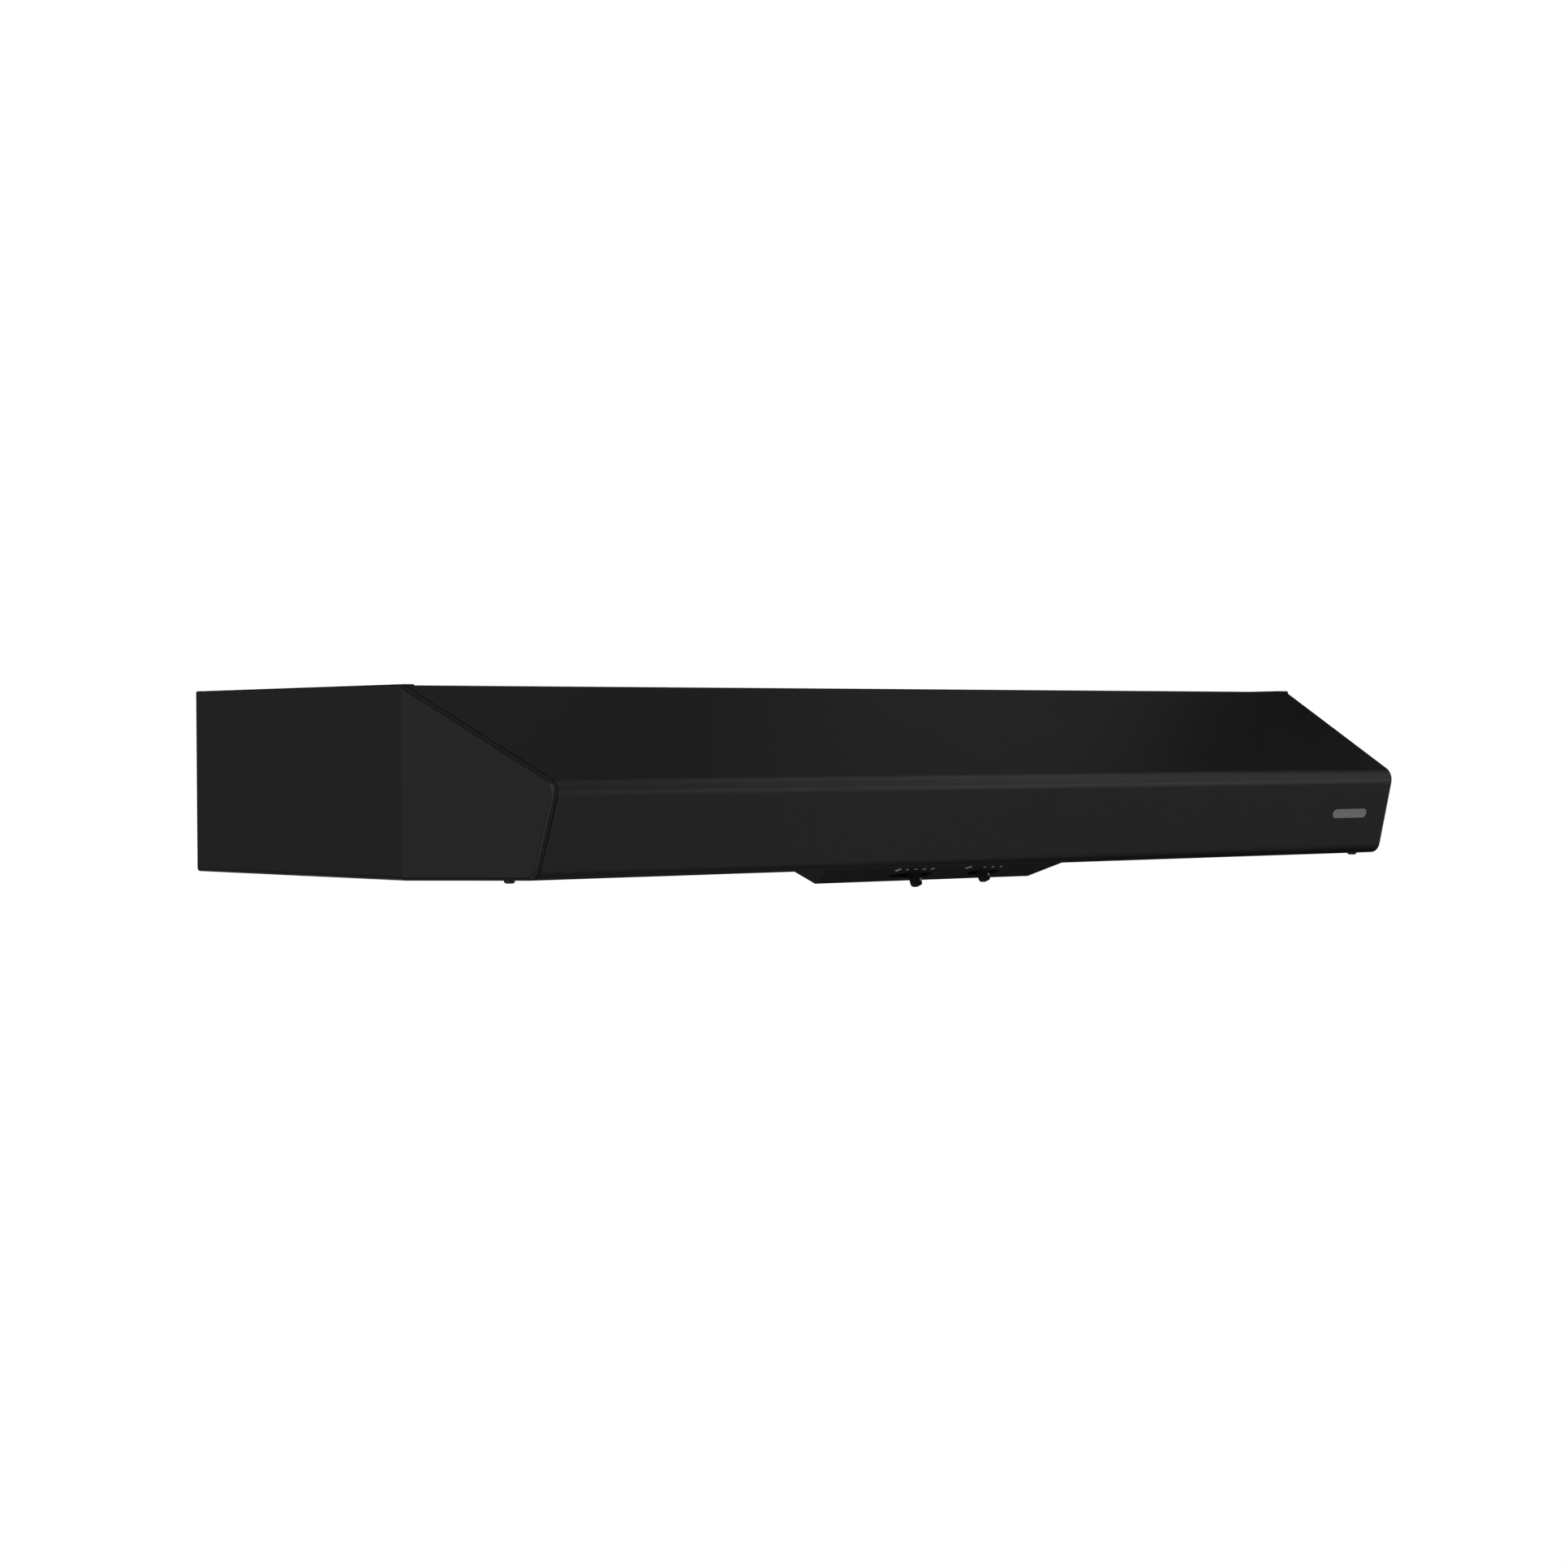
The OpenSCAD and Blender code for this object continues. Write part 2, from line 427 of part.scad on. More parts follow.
module motor_casing() color([0.25, 0.25, 0.26]) difference() {
    union() { barrel(38, -36, 72); barrel(12, -43, 86); barrel(39, -3, 6); }
    barrel(36.8, -34.8, 69.6);
    barrel(7, -60, 120);
    for (a = [0:45:315], s = [-1, 1]) translate([s * 35.5, by, bz]) rotate([a, 0, 0]) translate([0, 24, 0]) cube([4, 12, 4.5], center = true);
}
module motor_stator() color([0.5, 0.32, 0.18]) difference() { barrel(36.7, -22, 44); barrel(24.5, -60, 120); }
module motor_rotor() color([0.45, 0.45, 0.46]) difference() { barrel(24, -20, 40); barrel(shaft_r, -60, 120); }
module motor_shaft() color([0.75, 0.75, 0.76]) barrel(shaft_r, -69, 138);
module motor_bushes() color([0.72, 0.55, 0.25]) for (x = [-42.5, 34.5]) difference() { barrel(7, x, 8); barrel(shaft_r + 0.05, x - 1, 10); }
module motor_bracket() color([0.6, 0.6, 0.61]) difference() {
    union() {
        barrel(41.4, -14, 28);
        box([-14, by - 41.4, bz], [14, by - 40, H - t - 0.05]);
        box([-14, by + 40, bz], [14, by + 41.4, H - 7.8]);
        box([-14, by - 52, H - t - 1.45], [14, by - 40, H - t - 0.05]);
        box([-14, by + 40, H - 9], [14, by + 52, H - 7.8]);
    }
    barrel(39.05, -20, 40);
    box([-20, by - 39.9, bz + 6], [20, by + 39.9, H + 2]);
    for (s = [-1, 1]) translate([0, by + s * 47, H - 20]) cylinder(r = 1.7, h = 30);
}
module motor_screws() color([0.7, 0.7, 0.7]) {
    translate([0, by + 47, H - 9.02]) screw(3, 1.8, 1.6, 2.1);
    translate([0, by - 47, H - t - 1.47]) screw(3, 1.8, 1.6, 2.2);
}

// ---- electrics ----
module capacitor() color([0.85, 0.85, 0.82]) translate([150, -62, H - 20]) rotate([0, 90, 0]) {
    cylinder(r = 15, h = 52);
    for (y = [-5, 5]) translate([0, y, 51]) cylinder(r = 1.4, h = 10);
}
module capacitor_clip() color([0.6, 0.6, 0.61]) difference() {
    union() {
        translate([168, -62, H - 20]) rotate([0, 90, 0]) cylinder(r = 16.2, h = 14);
        box([168, -84, H - 2.1], [182, -40, H - 0.9]);
        box([168, -78.2, H - 20], [182, -45.8, H - 0.9]);
    }
    translate([160, -62, H - 20]) rotate([0, 90, 0]) cylinder(r = 15.05, h = 40);
    box([160, -77, H - 20], [190, -47, H - 2.1]);
}
jx0 = -440; jx1 = -350; jy0 = -75; jz0 = 95;
module junction_box() color([0.7, 0.7, 0.7]) difference() {
    union() {
        box([jx0, jy0, jz0], [jx1, -2.6, H - 1]);
        for (x = [[jx0 - 3, jx0 + 1], [jx1 - 1, jx1 + 9]]) box([x[0], jy0 + 20, H - 2], [x[1], jy0 + 34, H - 1]);
    }
    box([jx0 + 1, jy0 + 1, jz0 - 5], [jx1 - 1, 5, H + 5]);
    translate([-372, jy0 - 5, H - 18]) rotate([-90, 0, 0]) cylinder(r = 5, h = 12);
}
module junction_box_cover() color([0.68, 0.68, 0.68]) difference() {
    union() {
        box([jx0 - 1, jy0 - 1, jz0 - 1.05], [jx1 + 1, -2.6, jz0 - 0.05]);
        box([jx0 + 1.2, jy0 + 1.2, jz0 - 0.1], [jx1 - 1.2, jy0 + 2.2, jz0 + 8]);
    }
    translate([-395, jy0 + 10, 80]) cylinder(r = 1.9, h = 30);
}
module junction_box_screws() color([0.2, 0.5, 0.25]) {
    translate([-395, jy0 + 10, jz0 - 1.07]) screw(3.2, 1.8, 1.8, 9);
    translate([-430, jy0 + 1.02, 118]) rotate([90, 0, 180]) translate([0, 0, 0]) cylinder(r = 3, h = 2);
}
// lead made of straight runs with ball corners
module lead(P, r) for (i = [0:len(P) - 2]) {
    let(d = P[i + 1] - P[i], l = norm(d), b = acos(d[2] / l), c = atan2(d[1], d[0]))
        translate(P[i]) rotate([0, b, c]) cylinder(r = r, h = l, $fn = 24);
    if (i > 0) translate(P[i]) rotate([17, 23, 31]) sphere(r = r + 0.25, $fn = 24);
}
module main_harness() color([0.05, 0.05, 0.05]) lead([[-372, jy0 - 2, H - 18], [-372.05, -96, H - 10.1], [-371.95, -268, H - 9.9], [-90, -284, H - 10.6], [-62, -300, 108], [-58, -318, 52], [-34, -336, 19], [-25.7, -341, 16.2]], 3.4);
module motor_lead() color([0.5, 0.5, 0.5]) lead([[-10, -341.5, 14.6], [-14, -334, 24], [-40, -300, 100], [-34, -200, 120], [-30, -150, 112], [-30, -124.6, 96.9]], 2.2);
module lamp_leads() color([0.85, 0.85, 0.85]) for (s = [-1, 1])
    lead([[50 + s * 12.5, -341.6, 13.6], [50 + s * 12.5, -348, 24], [s * 200, -352, 24], [s * 267.2, -352, 27]], 1.7);
module cable_clips() color([0.9, 0.9, 0.9]) for (p = [[-372, -150], [-372, -230]]) translate([p[0], p[1], H - 10]) difference() {
    union() { rotate([90, 0, 0]) cylinder(r = 4.7, h = 10, center = true); box([-4.7, -5, 0], [4.7, 5, 9]); box([-12, -5, 7.8], [12, 5, 9]); }
    rotate([90, 0, 0]) cylinder(r = 3.6, h = 20, center = true);
}

// ---- lamps, drawn at the lamp's axis ----
module at_lamp(s) translate([s * lamp_x, -lamp_y, recess]) children();
module lamp_can() difference() {
    union() { translate([0, 0, t + 0.05]) cylinder(r = 36, h = 0.9); translate([0, 0, 0.1]) cylinder(r = 32.4, h = 33); translate([0, 0, 33]) cylinder(r = 12, h = 9); }
    translate([0, 0, -0.1]) cylinder(r = 31.4, h = 32.2);
}
module lamp_bezel() rotate_extrude($fn = 96) polygon(concat([[28.6, -2.1], [29.2, -2.9]],
    [for (a = [100:-10:10]) [lamp_r - 3.4 + 3.4 * cos(a), -3.4 * sin(a) + 0.0]],
    [[lamp_r, -0.05], [31.1, -0.05], [31.1, -1.9], [28.6, -1.9]]));
module lamp_lens() rotate_extrude($fn = 96) polygon([[0, -2.7], [10, -2.62], [20, -2.4], [28.2, -1.8], [30.9, -1.8], [30.9, -0.2], [0, -0.2]]);
module lamp_bulb() rotate_extrude() polygon([[0, 1.2], [24.5, 1.2], [25, 3], [24, 6], [17, 17], [11, 22], [10, 31.9], [0, 31.9]]);
module left_lamp_can() color([0.75, 0.75, 0.76]) at_lamp(-1) lamp_can();
module right_lamp_can() color([0.75, 0.75, 0.76]) at_lamp(1) lamp_can();
module left_lamp_bezel() color([0.1, 0.1, 0.1]) at_lamp(-1) lamp_bezel();
module right_lamp_bezel() color([0.1, 0.1, 0.1]) at_lamp(1) lamp_bezel();
module left_lamp_lens() color([0.9, 0.92, 0.95]) at_lamp(-1) lamp_lens();
module right_lamp_lens() color([0.9, 0.92, 0.95]) at_lamp(1) lamp_lens();
module left_lamp_bulb() color([0.95, 0.93, 0.85]) at_lamp(-1) lamp_bulb();
module right_lamp_bulb() color([0.95, 0.93, 0.85]) at_lamp(1) lamp_bulb();

// ---- plain badge on the front face ----
module badge_plate() color([0.45, 0.45, 0.45])
    translate([380.7, -hood_d + front_lean * (knee_z - 36) / knee_z, 36]) rotate([90 + atan(front_lean / knee_z), 0, 0])
        translate([0, 0, 0.02]) linear_extrude(0.7) slot2d(40, 7.6);

place() top_panel();
place() canopy_panel();
place() left_side_panel();
place() right_side_panel();
place() back_panel();
place() rear_knockout_plate();
place() knockout_screws();
place() underside_liner();
place() underside_rim();
place() liner_screws();
place() control_housing();
place() control_markings();
place() control_housing_screws();
place() fan_slider_knob();
place() light_slider_knob();
place() fan_switch();
place() light_switch();
place() left_filter_frame();
place() left_filter_mesh();
place() right_filter_frame();
place() right_filter_mesh();
place() left_filter_pull();
place() right_filter_pull();
place() filter_hinge_clips();
place() filter_catch_springs();
place() outlet_neck();
place() damper_pin();
place() front_damper_leaf();
place() rear_damper_leaf();
place() blower_screws();
place() left_blower_scroll();
place() right_blower_scroll();
place() left_blower_wheel();
place() right_blower_wheel();
place() motor_casing();
place() motor_stator();
place() motor_rotor();
place() motor_shaft();
place() motor_bushes();
place() motor_bracket();
place() motor_screws();
place() capacitor();
place() capacitor_clip();
place() junction_box();
place() junction_box_cover();
place() junction_box_screws();
place() main_harness();
place() motor_lead();
place() lamp_leads();
place() cable_clips();
place() left_lamp_can();
place() left_lamp_bezel();
place() left_lamp_lens();
place() left_lamp_bulb();
place() right_lamp_can();
place() right_lamp_bezel();
place() right_lamp_lens();
place() right_lamp_bulb();
place() badge_plate();
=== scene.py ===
import json
import math
import bpy
import bmesh
import numpy as np
from mathutils import Matrix, Vector


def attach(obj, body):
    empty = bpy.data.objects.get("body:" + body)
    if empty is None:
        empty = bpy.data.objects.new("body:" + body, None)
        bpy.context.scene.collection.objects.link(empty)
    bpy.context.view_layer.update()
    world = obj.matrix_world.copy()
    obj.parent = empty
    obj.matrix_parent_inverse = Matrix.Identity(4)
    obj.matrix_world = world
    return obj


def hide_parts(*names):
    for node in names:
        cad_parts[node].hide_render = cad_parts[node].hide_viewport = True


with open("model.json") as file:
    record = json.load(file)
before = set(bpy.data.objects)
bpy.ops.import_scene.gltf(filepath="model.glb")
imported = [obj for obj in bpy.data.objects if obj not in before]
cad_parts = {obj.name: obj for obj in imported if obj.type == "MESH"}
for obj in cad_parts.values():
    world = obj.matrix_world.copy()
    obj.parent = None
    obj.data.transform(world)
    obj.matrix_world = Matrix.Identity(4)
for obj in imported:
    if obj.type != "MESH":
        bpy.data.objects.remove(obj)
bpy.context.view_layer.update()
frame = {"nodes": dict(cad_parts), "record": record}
nodes = frame["nodes"]
scene = bpy.context.scene
WALL = 0.148      # y of the wall plane in the row frame
RIM = -0.1392     # z of the lower rim in the row frame


def at(x, y, z):
    """Millimetres from the middle, the wall and the rim, to metres in the row frame."""
    return Vector((x / 1000, y / 1000 + WALL, z / 1000 + RIM))


# ---------------------------------------------------------------- camera
YAW, PITCH, ROLL = (math.radians(a) for a in (38.57, -0.549, -0.368))
fw = Vector((math.sin(YAW) * math.cos(PITCH), math.cos(YAW) * math.cos(PITCH), math.sin(PITCH)))
rt = Vector((math.cos(YAW), -math.sin(YAW), 0))
up = rt.cross(fw)
r2 = rt * math.cos(ROLL) + up * math.sin(ROLL)
u2 = up * math.cos(ROLL) - rt * math.sin(ROLL)
cam_data = bpy.data.cameras.new("camera")
cam_data.sensor_width = 36
cam_data.lens = 4313 / 1932 * 36
cam_data.clip_end = 100
cam = bpy.data.objects.new("camera", cam_data)
scene.collection.objects.link(cam)
rot = Matrix((r2, u2, -fw)).transposed().to_4x4()
cam.matrix_world = Matrix.Translation(Vector((-1.7945, -2.263, -0.0482))) @ rot
scene.camera = cam
scene.view_settings.view_transform = "Standard"

# ---------------------------------------------------------------- stage
world = bpy.data.worlds.new("studio")
scene.world = world
world.use_nodes = True
bg = world.node_tree.nodes["Background"]
bg.inputs[0].default_value = (1, 1, 1, 1)
bg.inputs[1].default_value = 1.02
world.cycles_visibility.diffuse = False
world.cycles_visibility.glossy = False
world.cycles_visibility.transmission = False


def stage_floor():
    me = bpy.data.meshes.new("studio_floor")
    s, z = 60.0, -9.0
    me.from_pydata([(-s, -s, z), (s, -s, z), (s, s, z), (-s, s, z)], [], [(0, 1, 2, 3)])
    o = bpy.data.objects.new("studio_floor", me)
    scene.collection.objects.link(o)
    m = bpy.data.materials.new("studio_floor")
    m.use_nodes = True
    b = m.node_tree.nodes["Principled BSDF"]
    b.inputs["Base Color"].default_value = (0.9, 0.9, 0.9, 1)
    b.inputs["Roughness"].default_value = 1.0
    b.inputs["Specular IOR Level"].default_value = 0.0
    b.inputs["Emission Color"].default_value = (1, 1, 1, 1)
    b.inputs["Emission Strength"].default_value = 1.0
    me.materials.append(m)
    o.visible_glossy = False
    o.visible_diffuse = False


stage_floor()


def area(name, pos, target, size, power, size_y=None, glossy=True, diffuse=True):
    d = bpy.data.lights.new(name, "AREA")
    d.shape = "RECTANGLE"
    d.size = size
    d.size_y = size_y or size
    d.energy = power
    o = bpy.data.objects.new(name, d)
    scene.collection.objects.link(o)
    o.location = pos
    o.rotation_euler = (Vector(target) - Vector(pos)).to_track_quat("-Z", "Y").to_euler()
    o.visible_camera = False
    o.visible_glossy = glossy
    o.visible_diffuse = diffuse
    return o


# large soft panels: above, left, near the camera, ahead of the front face and below
area("overhead", (0.1, -0.5, 2.6), (0, 0, 0), 4.0, 3.44, 3.0)
area("camera_fill", (-2.4, -3.6, 1.6), (0, -0.2, 0), 2.4, 15.0, 2.4)
area("left_camera", (-3.2, -1.2, 0.6), (-0.2, 0, 0), 1.8, 30.0, 2.4)
area("left_wall", (-3.1, 1.5, 0.1), (-0.4, 0, 0), 1.8, 7.42, 2.6)
area("left_rear", (-2.0, 2.9, 0.1), (-0.4, 0, 0), 1.6, 2.15, 2.6)
area("front_right", (2.6, -2.9, 0.15), (0, -0.2, 0), 2.6, 11.07, 1.3)
area("front_right_high", (2.4, -2.0, 2.2), (0, -0.2, 0), 2.2, 4.15, 1.2)
area("front_low", (1.4, -2.2, -1.6), (0, -0.2, 0), 3.0, 5.97, 2.2)
area("front_low_left", (0.712, -1.447, -0.98), (-0.35, -0.286, -0.105), 0.9, 0.43, 0.9)
area("front_level", (1.9, -2.3, -0.5), (0, -0.29, -0.07), 1.2, 2.79, 0.8)
area("under", (0, -0.2, -2.0), (0, 0, 0), 3.4, 3.34, 3.0)
area("under_rear", (-0.4, 2.4, -1.9), (0, -0.2, -0.1), 1.6, 1.9, 1.2)
area("right_wall", (3.2, 0.3, -0.55), (0.3, 0, 0), 2.0, 18.0, 1.0)
area("back_wall", (1.3, 3.0, 0.3), (0, 0, 0), 1.8, 42.0, 1.6)
area("under_left", (-1.5, -0.7, -2.7), (0, -0.1, -0.1), 2.4, 12.0, 2.4)
# panels that light the knee of the canopy
area("knee_strip", (1.626, -1.585, 0.853), (0.1, -0.296, -0.068), 1.2, 2.73, 0.7)
area("knee_top", (1.6, -0.1, 2.0), (0, -0.29, -0.07), 0.9, 0.94, 0.9)
area("knee_upper", (1.7, -0.9, 1.9), (0, -0.29, -0.07), 0.9, 2.39, 0.9)
# small panels that light the rounded edges of the left side
area("edge_over", (-0.92, 0.4, 2.28), (-0.44, -0.15, 0), 1.2, 1.99, 1.2)
area("edge_front", (-2.0, -1.9, -1.04), (-0.44, -0.28, -0.1), 1.0, 5.5, 1.0)
area("edge_knee", (-1.8, -2.0, 1.43), (-0.44, -0.29, -0.07), 0.8, 8.0, 0.8)
# weak panels that grade the slope from left to right, darkest at the right end, and the control face
area("slope_wide", (0.9, 1.7, 1.5), (0, -0.2, 0), 1.0, 0.496, 1.4)
area("slope_left", (0.922, 0.57, 0.907), (-0.1, -0.222, -0.035), 0.6, 0.104, 0.8)
area("slope_middle", (0.594, 0.213, 0.482), (0, -0.222, -0.035), 0.35, 0.02, 0.5)
area("slope_right", (3.2, 0.4, 0.3), (0.3, 0, 0), 2.0, 4.0, 2.0)
area("slope_near", (0.875, 0.188, 0.453), (0.24, -0.222, -0.035), 0.35, 0.005, 0.5)
area("control_face", (1.37, 1.07, -1.31), (0, -0.2, -0.15), 1.2, 0.15, 1.2)


# ---------------------------------------------------------------- node helpers
class Net:
    def __init__(self, name):
        self.m = bpy.data.materials.new(name)
        self.m.use_nodes = True
        self.t = self.m.node_tree
        self.b = self.t.nodes["Principled BSDF"]
        self.obj = self.t.nodes.new("ShaderNodeTexCoord").outputs["Object"]

    def link(self, a, b):
        self.t.links.new(a, b)

    def put(self, sock, v):
        if hasattr(v, "is_output"):
            self.link(v, sock)
        else:
            sock.default_value = v

    def math(self, op, a, b=0.0, c=0.0):
        n = self.t.nodes.new("ShaderNodeMath")
        n.operation = op
        for s, v in zip(n.inputs, (a, b, c)):
            self.put(s, v)
        return n.outputs[0]

    def scale(self, v, s):
        n = self.t.nodes.new("ShaderNodeMapping")
        self.link(v, n.inputs["Vector"])
        n.inputs["Scale"].default_value = s
        return n.outputs[0]

    def noise(self, scale, detail=3.0, rough=0.5, vec=None, dist=0.0):
        n = self.t.nodes.new("ShaderNodeTexNoise")
        self.link(vec or self.obj, n.inputs["Vector"])
        n.inputs["Scale"].default_value = scale
        n.inputs["Detail"].default_value = detail
        n.inputs["Roughness"].default_value = rough
        n.inputs["Distortion"].default_value = dist
        return n.outputs["Fac"]

    def voronoi(self, scale, feature="F1", vec=None, out="Distance", rand=1.0):
        n = self.t.nodes.new("ShaderNodeTexVoronoi")
        n.feature = feature
        self.link(vec or self.obj, n.inputs["Vector"])
        n.inputs["Scale"].default_value = scale
        n.inputs["Randomness"].default_value = rand
        return n.outputs[out]

    def wave(self, scale, axis="X", dist=0.0, vec=None):
        n = self.t.nodes.new("ShaderNodeTexWave")
        n.bands_direction = axis
        self.link(vec or self.obj, n.inputs["Vector"])
        n.inputs["Scale"].default_value = scale
        n.inputs["Distortion"].default_value = dist
        return n.outputs["Fac"]

    def ramp(self, v, lo, hi, a=0.0, b=1.0):
        n = self.t.nodes.new("ShaderNodeMapRange")
        n.inputs["From Min"].default_value = lo
        n.inputs["From Max"].default_value = hi
        n.inputs["To Min"].default_value = a
        n.inputs["To Max"].default_value = b
        self.link(v, n.inputs["Value"])
        return n.outputs[0]

    def mix(self, f, a, b):
        n = self.t.nodes.new("ShaderNodeMix")
        n.data_type = "RGBA"
        self.put(n.inputs[0], f)
        for i, v in ((6, a), (7, b)):
            if hasattr(v, "is_output"):
                self.link(v, n.inputs[i])
            else:
                n.inputs[i].default_value = (*v[:3], 1)
        return n.outputs[2]

    def bump(self, h, strength, dist, normal=None):
        n = self.t.nodes.new("ShaderNodeBump")
        n.inputs["Strength"].default_value = strength
        n.inputs["Distance"].default_value = dist
        self.link(h, n.inputs["Height"])
        if normal is not None:
            self.link(normal, n.inputs["Normal"])
        return n.outputs["Normal"]

    def edge(self, radius):
        """0 on flats, up to 1 within radius of an edge."""
        bv = self.t.nodes.new("ShaderNodeBevel")
        bv.samples = 4
        bv.inputs["Radius"].default_value = radius
        g = self.t.nodes.new("ShaderNodeNewGeometry")
        d = self.t.nodes.new("ShaderNodeVectorMath")
        d.operation = "DOT_PRODUCT"
        self.link(bv.outputs[0], d.inputs[0])
        self.link(g.outputs["True Normal"], d.inputs[1])
        return self.ramp(self.math("ABSOLUTE", d.outputs["Value"]), 0.995, 0.8)

    def done(self, color=None, rough=None, normal=None, metal=0.0, spec=0.5, **more):
        b = self.b.inputs
        for k, v in (("Base Color", color), ("Roughness", rough), ("Normal", normal)):
            if v is None:
                continue
            if hasattr(v, "is_output"):
                self.link(v, b[k])
            else:
                b[k].default_value = (*v[:3], 1) if k == "Base Color" else v
        b["Metallic"].default_value = metal
        b["Specular IOR Level"].default_value = spec
        for k, v in more.items():
            b[k.replace("_", " ")].default_value = v
        return self.m


def grey(v, t=0.0):
    return (v * (1 - t), v, v * (1 + t))


# ---------------------------------------------------------------- materials
def powder_coat(name, v, rough=0.34, spec=0.32, grain=0.12, painted_gap_shade=False):
    """Satin black powder coat: fine orange peel, a pinhead grain, faint cloudiness, and sharp edges painted lighter as
    a painted edge highlight, broken up by noise like wear.
    With the painted gap shade option, the sheet's two cut ends are painted dark and dull as painted shade, so the
    narrow seams at the side panels read as dark gaps."""
    n = Net(name)
    cloud = n.noise(7, 3, 0.55)
    speck = n.noise(2600, 2, 0.6)
    peel = n.noise(520, 2, 0.5)
    c = n.mix(n.ramp(cloud, 0.3, 0.7), grey(v * 0.93), grey(v * 1.07))
    c = n.mix(n.ramp(speck, 0.62, 0.8, 0, 0.5), c, grey(v * 1.8))
    # painted edge highlight: sharp edges lighter, broken up by noise like wear
    edge_wear_and_highlight = n.math("MULTIPLY", n.edge(0.0007), n.ramp(n.noise(160, 4, 0.7), 0.45, 0.65, 0.12, 0.75))
    c = n.mix(edge_wear_and_highlight, c, grey(v * 2.2))
    r = n.math("ADD", n.ramp(cloud, 0.25, 0.75, rough - 0.03, rough + 0.04), n.ramp(speck, 0.3, 0.7, -0.03, 0.03))
    # painted shade: faces whose normal points along x (the cut ends) are darkened and dulled so the seam gaps look dark
    if painted_gap_shade:
        sep = n.t.nodes.new("ShaderNodeSeparateXYZ")
        n.link(n.t.nodes.new("ShaderNodeTexCoord").outputs["Normal"], sep.inputs[0])
        end = n.ramp(n.math("ABSOLUTE", sep.outputs["X"]), 0.55, 0.8)
        c = n.mix(end, c, grey(v * 0.1))
        r = n.math("MAXIMUM", r, n.math("MULTIPLY", end, 0.95))
    nrm = n.bump(peel, grain, 0.00025)
    nrm = n.bump(speck, grain * 0.7, 0.00006, nrm)
    return n.done(c, r, nrm, 0, spec)


def plastic(name, col, rough=0.5, spec=0.4, grain=1800, strength=0.18):
    n = Net(name)
    g = n.noise(grain, 2, 0.55)
    cloud = n.noise(25, 2, 0.5)
    c = n.mix(n.ramp(cloud, 0.3, 0.7), [x * 0.9 for x in col], [min(1, x * 1.12) for x in col])
    # painted edge highlight: sharp edges lighter
    c = n.mix(n.math("MULTIPLY", n.edge(0.0005), 0.35), c, [min(1, x * 1.9 + 0.004) for x in col])
    r = n.ramp(g, 0.25, 0.75, rough - 0.05, rough + 0.06)
    return n.done(c, r, n.bump(g, strength, 0.00008), 0, spec)


def galvanised(name, v=0.52):
    """Hot dipped sheet: spangle flakes 5 to 12 mm across that differ in tone and gloss, with soft streaks."""
    n = Net(name)
    warped = n.noise(55, 2, 0.5)
    flake = n.t.nodes.new("ShaderNodeTexVoronoi")
    flake.inputs["Scale"].default_value = 120
    add = n.t.nodes.new("ShaderNodeVectorMath")
    add.operation = "MULTIPLY_ADD"
    n.link(warped, add.inputs[0])
    add.inputs[1].default_value = (0.004, 0.004, 0.004)
    n.link(n.obj, add.inputs[2])
    n.link(add.outputs[0], flake.inputs["Vector"])
    tone = n.t.nodes.new("ShaderNodeSeparateColor")
    n.link(flake.outputs["Color"], tone.inputs[0])
    c = n.mix(tone.outputs[0], grey(v * 0.72, 0.02), grey(v * 1.15, 0.03))
    c = n.mix(n.ramp(n.noise(9, 4, 0.6), 0.45, 0.7, 0, 0.35), c, grey(v * 0.62, 0.02))
    r = n.ramp(tone.outputs[1], 0, 1, 0.3, 0.52)
    return n.done(c, r, n.bump(n.noise(420, 3, 0.6), 0.08, 0.0002), 0.9, 0.5)


def metal(name, col, rough=0.3, axis=(1, 1, 1), strength=0.08, metallic=1.0, fine=900):
    """Metal with fine drawn lines along the axis whose scale is small."""
    n = Net(name)
    v = n.scale(n.obj, axis)
    lines = n.noise(fine, 3, 0.6, v)
    cloud = n.noise(14, 3, 0.5)
    c = n.mix(n.ramp(lines, 0.3, 0.7), [x * 0.86 for x in col], [min(1, x * 1.08) for x in col])
    c = n.mix(n.ramp(cloud, 0.5, 0.8, 0, 0.3), c, [x * 0.7 for x in col])
    r = n.ramp(lines, 0.25, 0.75, rough - 0.06, rough + 0.1)
    return n.done(c, r, n.bump(lines, strength, 0.0001), metallic, 0.5)


def rubber(name, v, rough=0.55):
    n = Net(name)
    g = n.noise(700, 3, 0.6)
    c = n.mix(n.ramp(n.noise(60, 2, 0.5), 0.3, 0.7), grey(v * 0.85), grey(v * 1.15))
    return n.done(c, n.ramp(g, 0.3, 0.7, rough - 0.06, rough + 0.08), n.bump(g, 0.15, 0.0001), 0, 0.35)


